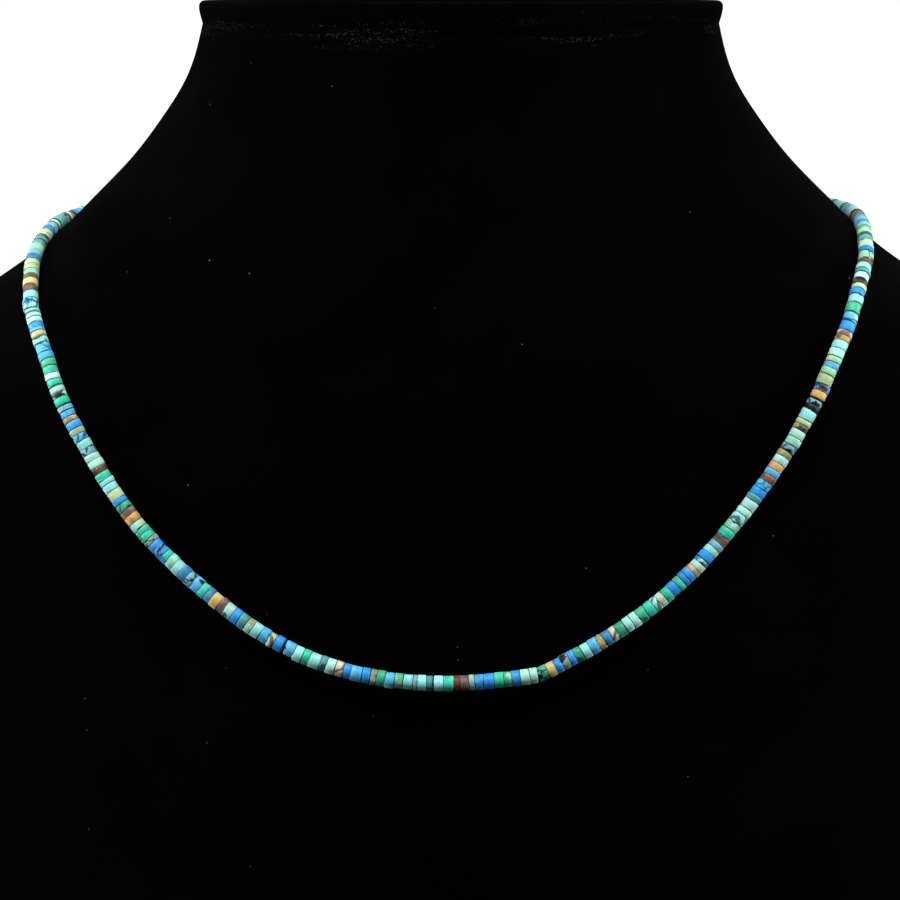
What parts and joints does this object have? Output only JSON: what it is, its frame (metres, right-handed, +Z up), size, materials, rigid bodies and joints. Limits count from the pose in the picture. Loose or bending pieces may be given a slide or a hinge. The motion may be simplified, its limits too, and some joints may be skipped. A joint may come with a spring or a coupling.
{
  "type": "beaded necklace on a neck bust",
  "caption": "Strand necklace of thin round stone discs in mixed turquoise, green and earth tones, hanging round a plain black velvet neck bust with a flat base.",
  "frame": {"origin": "middle of the flat base, under the neck, on the surface that the bust stands on", "axes": "+Z up, the chest faces -Y, +X to the right of someone who looks at the chest"},
  "size_m": [0.223, 0.0914, 0.2355],
  "materials": {
    "velvet": "black velvet, short dense pile",
    "stone": "tumbled to a low satin sheen, mixed turquoise, green, blue and brown",
    "silver": "polished silver tone"
  },
  "bodies": {
    "root": {"neck_bust": "velvet", "bead_string_left": "stone", "bead_string_right": "stone", "clasp": "silver"}
  },
  "joints": []
}
